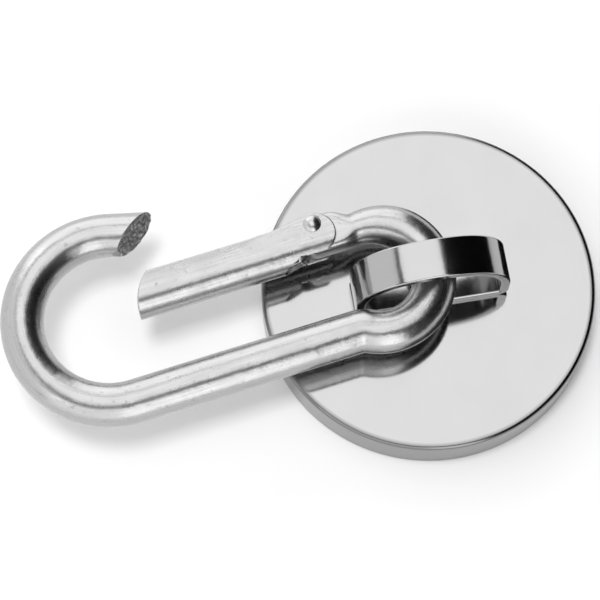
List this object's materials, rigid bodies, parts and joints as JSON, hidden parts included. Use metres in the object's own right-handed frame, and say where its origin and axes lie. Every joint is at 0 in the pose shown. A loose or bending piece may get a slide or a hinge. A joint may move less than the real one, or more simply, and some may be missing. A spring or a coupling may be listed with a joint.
{
  "type": "magnet fishing magnet",
  "caption": "Round plated pot magnet with a riveted swivelling strap on its back and a spring snap hook linked through the strap, for pulling steel out of water on a rope.",
  "frame": {"origin": "centre of the magnet's working face", "axes": "+Z out of the back of the pot, towards the strap; +X along the hook from its bow to its eye"},
  "size_m": [0.1055, 0.06, 0.0256],
  "materials": {
    "cup_plating": "bright nickel plate, mirror polished",
    "magnet_plating": "nickel plated neodymium, ground flat",
    "resin": "black potting resin",
    "strap_plating": "bright nickel plate over rolled strip",
    "rivet_steel": "plated rivet",
    "washer_steel": "plain",
    "hook_zinc": "bright zinc plate on bent rod, tumbled; grey cropped end",
    "gate_zinc": "bright zinc plate on folded sheet",
    "spring_steel": "spring wire"
  },
  "bodies": {
    "pot": {"steel_cup": "cup_plating", "ring_magnet": "magnet_plating", "potting_ring": "resin", "centre_plug": "resin", "rivet_washer": "washer_steel", "strap_rivet": "rivet_steel"},
    "strap": {"strap_loop": "strap_plating"},
    "hook": {"hook_frame": "hook_zinc"},
    "gate": {"gate_channel": "gate_zinc", "gate_rivet": "rivet_steel", "gate_spring": "spring_steel"},
    "plunger": {"gate_plunger": "spring_steel"}
  },
  "joints": [
    {"name": "strap_swivel", "type": "hinge", "parent": "pot", "child": "strap", "pos_m": [0, 0, 0.009], "axis": [0, 0, 1], "continuous": true},
    {"name": "hook_swing", "type": "hinge", "parent": "strap", "child": "hook", "pos_m": [0.0008, 0.0019, 0.017], "axis": [0.1461, 0.9893, 0], "range_deg": [-7.5, 187]},
    {"name": "gate_hinge", "type": "hinge", "parent": "hook", "child": "gate", "pos_m": [-0.0175, 0.014, 0.017], "axis": [0, 0, 1], "range_deg": [-14, 17], "stiffness_Nm_per_rad": 0.02, "springref_deg": -34.38},
    {"name": "plunger_slide", "type": "slide", "parent": "gate", "child": "plunger", "axis": [-1, 0, 0], "range_m": [-0.0008, 0.0009], "deforming": ["gate_spring"]}
  ],
  "couplings": [
    {"joint": "plunger_slide", "follows": "gate_hinge", "m_per_rad": 0.0028}
  ]
}
